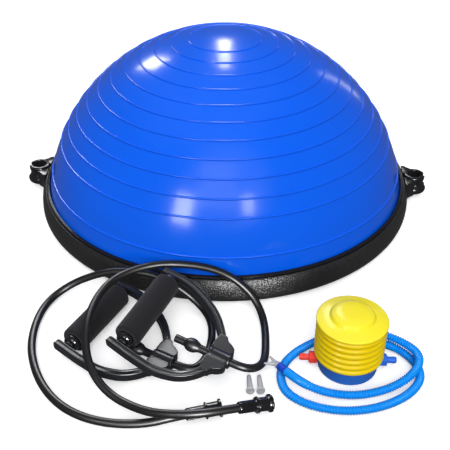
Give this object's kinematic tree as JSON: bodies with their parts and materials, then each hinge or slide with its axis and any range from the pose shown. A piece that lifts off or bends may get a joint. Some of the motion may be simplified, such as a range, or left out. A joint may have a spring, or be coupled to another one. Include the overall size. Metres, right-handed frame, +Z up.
{
  "type": "balance dome trainer",
  "caption": "Inflatable half-dome balance trainer on a rigid round platform with side anchor ears, handled resistance bands, a foot pump with hose and nozzle, and spare valve plugs.",
  "frame": {"origin": "centre of the platform's underside, on the floor", "axes": "+Z up through the top of the dome, +X through the right anchor ear, -Y towards the side on which the bands and the pump are laid out"},
  "size_m": [0.6646, 0.8229, 0.2704],
  "materials": {
    "platform_black": "satin, fine leather grain",
    "clamp_black": "satin",
    "dome_blue": "glossy vinyl",
    "floor_vinyl": "semi-gloss vinyl",
    "pad_rubber": "matte",
    "screw_steel": "zinc plated",
    "valve_vinyl": "satin",
    "plug_clear": "translucent, satin",
    "handle_black": "semi-gloss",
    "foam_black": "matte closed-cell foam",
    "tube_black": "satin latex",
    "stopper_black": "satin",
    "connector_black": "glossy",
    "pump_blue": "semi-gloss",
    "bellows_yellow": "semi-gloss",
    "cap_yellow": "glossy",
    "barb_red": "glossy",
    "barb_blue": "glossy",
    "hose_blue": "glossy, ribbed",
    "nozzle_clear": "translucent, satin"
  },
  "bodies": {
    "trainer": {"base_platform": "platform_black", "dome_clamp_ring": "clamp_black", "bladder_floor": "floor_vinyl", "left_anchor_ear": "platform_black", "right_anchor_ear": "platform_black", "clamp_screws": "screw_steel", "floor_pads": "pad_rubber", "valve_seat": "valve_vinyl"},
    "dome": {"dome_bladder": "dome_blue"},
    "air_plug": {"valve_plug": "plug_clear"},
    "left_band": {"left_band_tube": "tube_black", "left_band_handle_bow": "handle_black", "left_band_stopper": "stopper_black", "left_band_connector_sleeve": "connector_black", "left_band_connector_barrel": "connector_black"},
    "left_grip": {"left_band_grip_core": "handle_black", "left_band_foam_grip": "foam_black"},
    "right_band": {"right_band_tube": "tube_black", "right_band_handle_bow": "handle_black", "right_band_stopper": "stopper_black", "right_band_connector_sleeve": "connector_black", "right_band_connector_barrel": "connector_black"},
    "right_grip": {"right_band_grip_core": "handle_black", "right_band_foam_grip": "foam_black"},
    "hose": {"inflation_hose": "hose_blue", "hose_nozzle_cuff": "hose_blue", "hose_pump_cuff": "hose_blue"},
    "nozzle": {"hose_nozzle": "nozzle_clear"},
    "pump": {"pump_base": "pump_blue", "pump_base_plate": "pump_blue", "pump_inlet_barb": "barb_red", "pump_outlet_barb": "barb_blue"},
    "pump_top": {"pump_top_cap": "cap_yellow", "pump_bellows": "bellows_yellow"},
    "inlet_flap": {"pump_inlet_flap": "pad_rubber"},
    "plugs": {"spare_plugs": "plug_clear"}
  },
  "joints": [
    {"name": "dome_press", "type": "slide", "parent": "trainer", "child": "dome", "axis": [0, 0, -1], "range_m": [0, 0.06], "stiffness_N_per_m": 12000, "deforming": ["dome_bladder"]},
    {"name": "valve_plug_pull", "type": "slide", "parent": "trainer", "child": "air_plug", "axis": [0, 0, -1], "range_m": [0, 0.012]},
    {"name": "left_band_lift", "type": "slide", "parent": "trainer", "child": "left_band", "axis": [0, 0, 1], "range_m": [0, 0.15]},
    {"name": "right_band_lift", "type": "slide", "parent": "left_band", "child": "right_band", "axis": [0, 0, 1], "range_m": [0, 0.15]},
    {"name": "left_grip_turn", "type": "hinge", "parent": "left_band", "child": "left_grip", "pos_m": [-0.1481, -0.3518, 0.0174], "axis": [0.4019, 0.9157, 0], "continuous": true},
    {"name": "right_grip_turn", "type": "hinge", "parent": "right_band", "child": "right_grip", "pos_m": [-0.078, -0.3665, 0.046], "axis": [0.3982, 0.911, 0.1071], "continuous": true},
    {"name": "hose_lift", "type": "slide", "parent": "trainer", "child": "hose", "axis": [0, 0, 1], "range_m": [0, 0.15]},
    {"name": "nozzle_pull", "type": "slide", "parent": "hose", "child": "nozzle", "axis": [-0.7071, 0.7071, 0], "range_m": [0, 0.009]},
    {"name": "pump_lift", "type": "slide", "parent": "hose", "child": "pump", "axis": [0, 0, 1], "range_m": [0, 0.15]},
    {"name": "pump_press", "type": "slide", "parent": "pump", "child": "pump_top", "axis": [0, 0, -1], "range_m": [0, 0.036], "stiffness_N_per_m": 2000, "deforming": ["pump_bellows"]},
    {"name": "inlet_flap_swing", "type": "hinge", "parent": "pump", "child": "inlet_flap", "pos_m": [0.1404, -0.4035, 0.014], "axis": [0, -1, 0], "range_deg": [0, 35]},
    {"name": "plugs_slide", "type": "slide", "parent": "trainer", "child": "plugs", "axis": [0, -1, 0], "range_m": [0, 0.015]}
  ]
}
